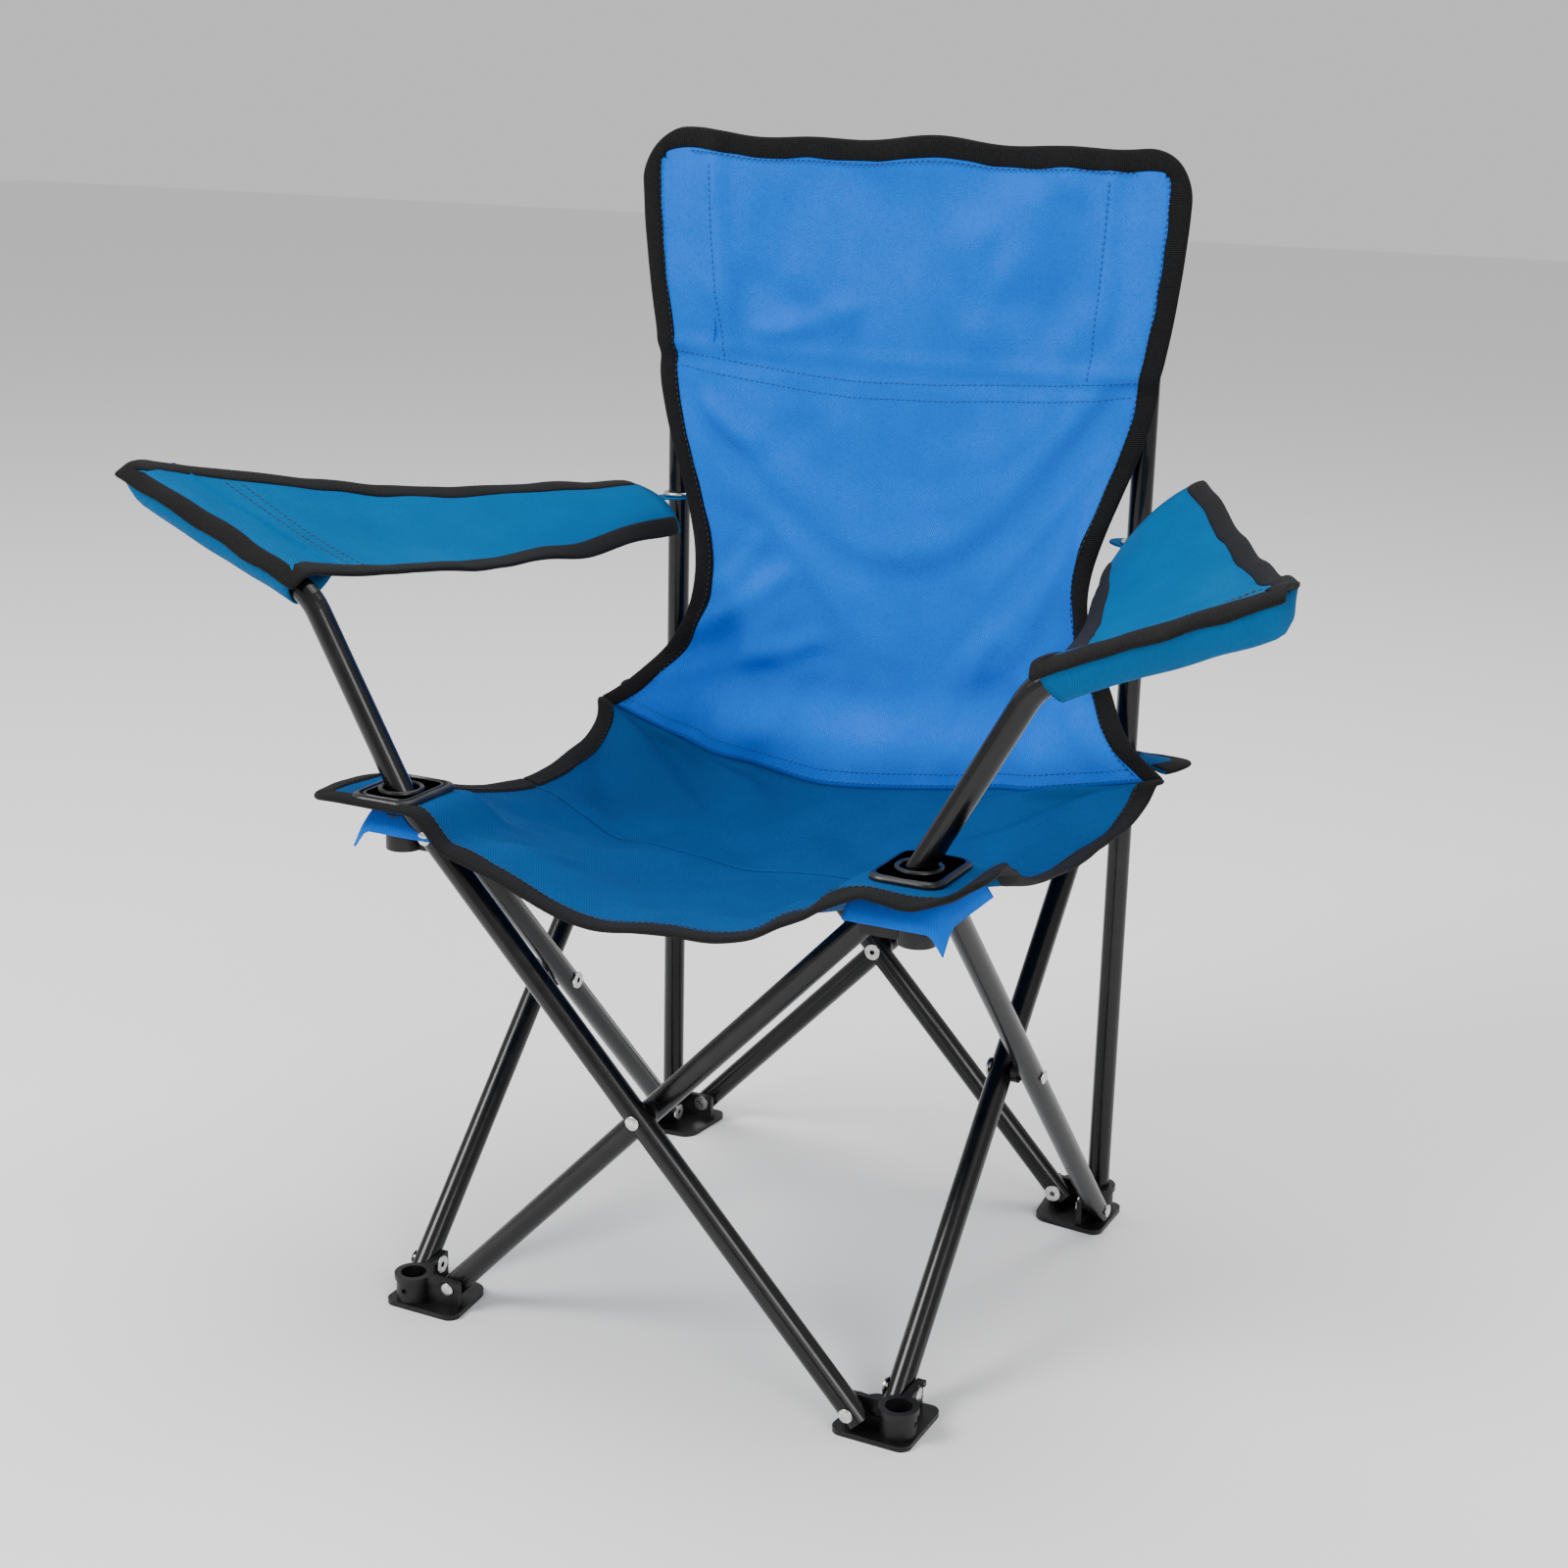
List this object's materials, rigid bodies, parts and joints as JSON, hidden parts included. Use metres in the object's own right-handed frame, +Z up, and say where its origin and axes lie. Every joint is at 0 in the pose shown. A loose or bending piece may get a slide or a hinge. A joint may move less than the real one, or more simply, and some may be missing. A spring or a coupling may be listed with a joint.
{
  "type": "folding camp chair",
  "caption": "Compact folding chair: scissor tube frame on four feet, bent arm posts, sling seat, tall back and fabric armrests.",
  "frame": {"origin": "centre of the open chair's box, at the floor under the feet", "axes": "+Z up, front towards -Y, +X towards the right of someone who looks at the front"},
  "size_m": [0.6098, 0.3407, 0.62],
  "materials": {
    "black_tube": "gloss",
    "black_plastic": "satin",
    "grommet_plastic": "satin",
    "rivet_steel": "polished",
    "eyelet_steel": "satin",
    "black_binding": "matte",
    "seat_fabric": "matte",
    "back_fabric": "matte",
    "arm_fabric": "matte"
  },
  "bodies": {
    "foot_front_left_body": {"foot_front_left": "black_plastic", "foot_rivets_front_left": "rivet_steel"},
    "hub_front_left_body": {"hub_front_left": "black_plastic", "hub_rivets_front_left": "rivet_steel"},
    "foot_front_right_body": {"foot_front_right": "black_plastic", "foot_rivets_front_right": "rivet_steel"},
    "hub_front_right_body": {"hub_front_right": "black_plastic", "hub_rivets_front_right": "rivet_steel"},
    "foot_back_right_body": {"foot_back_right": "black_plastic", "foot_rivets_back_right": "rivet_steel", "upright_right": "black_tube", "upright_cap_right": "black_plastic", "upright_pin_right": "rivet_steel", "back_pocket_right": "back_fabric", "arm_eyelet_right": "eyelet_steel"},
    "hub_back_right_body": {"hub_back_right": "black_plastic", "hub_rivets_back_right": "rivet_steel"},
    "foot_back_left_body": {"foot_back_left": "black_plastic", "foot_rivets_back_left": "rivet_steel", "upright_left": "black_tube", "upright_cap_left": "black_plastic", "upright_pin_left": "rivet_steel", "back_panel": "back_fabric", "back_binding": "black_binding", "back_pocket_left": "back_fabric", "arm_eyelet_left": "eyelet_steel"},
    "hub_back_left_body": {"hub_back_left": "black_plastic", "hub_rivets_back_left": "rivet_steel"},
    "outer_tube_front_body": {"outer_tube_front": "black_tube", "arm_tube_cap_left": "black_plastic", "arm_sleeve_left": "arm_fabric", "grommet_left": "grommet_plastic"},
    "inner_tube_front_body": {"inner_tube_front": "black_tube", "spacer_front": "black_plastic", "cross_rivet_front": "rivet_steel", "arm_tube_cap_right": "black_plastic", "arm_sleeve_right": "arm_fabric", "grommet_right": "grommet_plastic"},
    "outer_tube_right_body": {"outer_tube_right": "black_tube"},
    "inner_tube_right_body": {"inner_tube_right": "black_tube", "spacer_right": "black_plastic", "cross_rivet_right": "rivet_steel"},
    "outer_tube_back_body": {"outer_tube_back": "black_tube"},
    "inner_tube_back_body": {"inner_tube_back": "black_tube", "spacer_back": "black_plastic", "cross_rivet_back": "rivet_steel"},
    "outer_tube_left_body": {"outer_tube_left": "black_tube"},
    "inner_tube_left_body": {"inner_tube_left": "black_tube", "spacer_left": "black_plastic", "cross_rivet_left": "rivet_steel"},
    "seat_front_body": {"seat_front": "seat_fabric", "seat_front_binding": "black_binding", "seat_corner_patches": "seat_fabric"},
    "seat_rear_body": {"seat_rear": "seat_fabric", "seat_rear_binding": "black_binding"},
    "arm_left_body": {"arm_sling_left": "arm_fabric"},
    "arm_right_body": {"arm_sling_right": "arm_fabric"}
  },
  "joints": [
    {"name": "fold", "type": "hinge", "parent": "foot_front_left_body", "child": "inner_tube_front_body", "pos_m": [-0.1235, -0.1265, 0.013], "axis": [0, -1, 0], "range_deg": [0, 37], "deforming": ["seat_front", "seat_front_binding", "seat_corner_patches", "seat_rear", "seat_rear_binding", "back_panel", "back_binding", "back_pocket_left", "back_pocket_right", "arm_sling_left", "arm_sling_right"]},
    {"name": "front_cross", "type": "hinge", "parent": "inner_tube_front_body", "child": "outer_tube_front_body", "pos_m": [0, -0.135, 0.14385], "axis": [0, 1, 0], "range_deg": [-0.5, 74.5]},
    {"name": "front_right_foot_pivot", "type": "hinge", "parent": "outer_tube_front_body", "child": "foot_front_right_body", "pos_m": [0.1235, -0.1435, 0.013], "axis": [0, 1, 0], "range_deg": [-37.5, 0.5]},
    {"name": "front_left_hub_pivot", "type": "hinge", "parent": "outer_tube_front_body", "child": "hub_front_left_body", "pos_m": [-0.1235, -0.1435, 0.2747], "axis": [0, 1, 0], "range_deg": [-37.5, 0.5]},
    {"name": "front_right_hub_pivot", "type": "hinge", "parent": "inner_tube_front_body", "child": "hub_front_right_body", "pos_m": [0.1235, -0.1265, 0.2747], "axis": [0, 1, 0], "range_deg": [-0.5, 37.5]},
    {"name": "front_left_foot_pivot", "type": "hinge", "parent": "foot_front_left_body", "child": "outer_tube_left_body", "pos_m": [-0.1535, -0.1135, 0.013], "axis": [1, 0, 0], "range_deg": [-0.5, 37.5]},
    {"name": "left_cross", "type": "hinge", "parent": "outer_tube_left_body", "child": "inner_tube_left_body", "pos_m": [-0.145, 0.01, 0.14385], "axis": [1, 0, 0], "range_deg": [-74.5, 0.5]},
    {"name": "back_left_foot_pivot", "type": "hinge", "parent": "inner_tube_left_body", "child": "foot_back_left_body", "pos_m": [-0.1365, 0.1335, 0.013], "axis": [1, 0, 0], "range_deg": [-0.5, 37.5]},
    {"name": "back_left_hub_pivot", "type": "hinge", "parent": "outer_tube_left_body", "child": "hub_back_left_body", "pos_m": [-0.1535, 0.1335, 0.2747], "axis": [1, 0, 0], "range_deg": [-37.5, 0.5]},
    {"name": "back_outer_foot_pivot", "type": "hinge", "parent": "foot_back_left_body", "child": "outer_tube_back_body", "pos_m": [-0.1235, 0.1635, 0.013], "axis": [0, -1, 0], "range_deg": [-0.5, 37.5]},
    {"name": "back_cross", "type": "hinge", "parent": "outer_tube_back_body", "child": "inner_tube_back_body", "pos_m": [0, 0.155, 0.14385], "axis": [0, -1, 0], "range_deg": [-74.5, 0.5]},
    {"name": "back_right_foot_pivot", "type": "hinge", "parent": "inner_tube_back_body", "child": "foot_back_right_body", "pos_m": [0.1235, 0.1465, 0.013], "axis": [0, -1, 0], "range_deg": [-0.5, 37.5]},
    {"name": "back_right_hub_pivot", "type": "hinge", "parent": "outer_tube_back_body", "child": "hub_back_right_body", "pos_m": [0.1235, 0.1635, 0.2747], "axis": [0, -1, 0], "range_deg": [-37.5, 0.5]},
    {"name": "right_inner_foot_pivot", "type": "hinge", "parent": "foot_front_right_body", "child": "inner_tube_right_body", "pos_m": [0.1365, -0.1135, 0.013], "axis": [-1, 0, 0], "range_deg": [-37.5, 0.5]},
    {"name": "right_cross", "type": "hinge", "parent": "inner_tube_right_body", "child": "outer_tube_right_body", "pos_m": [0.145, 0.01, 0.14385], "axis": [-1, 0, 0], "range_deg": [-0.5, 74.5]},
    {"name": "seat_front_hang", "type": "hinge", "parent": "hub_front_left_body", "child": "seat_front_body", "pos_m": [0, -0.136, 0.292], "axis": [1, 0, 0], "range_deg": [-67.1, 0.5]},
    {"name": "seat_rear_hang", "type": "hinge", "parent": "hub_back_left_body", "child": "seat_rear_body", "pos_m": [0, 0.144, 0.292], "axis": [1, 0, 0], "range_deg": [-0.5, 67.1]},
    {"name": "arm_left_hang", "type": "hinge", "parent": "outer_tube_front_body", "child": "arm_left_body", "pos_m": [-0.25193, -0.1347, 0.41683], "axis": [-0.8648, 0.2779, -0.4182], "range_deg": [-0.5, 52.92]},
    {"name": "arm_right_hang", "type": "hinge", "parent": "inner_tube_front_body", "child": "arm_right_body", "pos_m": [0.25193, -0.1177, 0.41683], "axis": [-0.851, -0.2888, 0.4387], "range_deg": [-0.5, 57.04]}
  ],
  "couplings": [
    {"joint": "front_cross", "follows": "fold", "ratio": 2},
    {"joint": "front_right_foot_pivot", "follows": "fold", "ratio": -1},
    {"joint": "front_left_hub_pivot", "follows": "fold", "ratio": -1},
    {"joint": "front_right_hub_pivot", "follows": "fold", "ratio": 1},
    {"joint": "front_left_foot_pivot", "follows": "fold", "ratio": 1},
    {"joint": "left_cross", "follows": "fold", "ratio": -2},
    {"joint": "back_left_foot_pivot", "follows": "fold", "ratio": 1},
    {"joint": "back_left_hub_pivot", "follows": "fold", "ratio": -1},
    {"joint": "back_outer_foot_pivot", "follows": "fold", "ratio": 1},
    {"joint": "back_cross", "follows": "fold", "ratio": -2},
    {"joint": "back_right_foot_pivot", "follows": "fold", "ratio": 1},
    {"joint": "back_right_hub_pivot", "follows": "fold", "ratio": -1},
    {"joint": "right_inner_foot_pivot", "follows": "fold", "ratio": -1},
    {"joint": "right_cross", "follows": "fold", "ratio": 2},
    {"joint": "seat_front_hang", "follows": "fold", "ratio": -1.8},
    {"joint": "seat_rear_hang", "follows": "fold", "ratio": 1.8},
    {"joint": "arm_left_hang", "follows": "fold", "ratio": 1.4168},
    {"joint": "arm_right_hang", "follows": "fold", "ratio": 1.528}
  ]
}
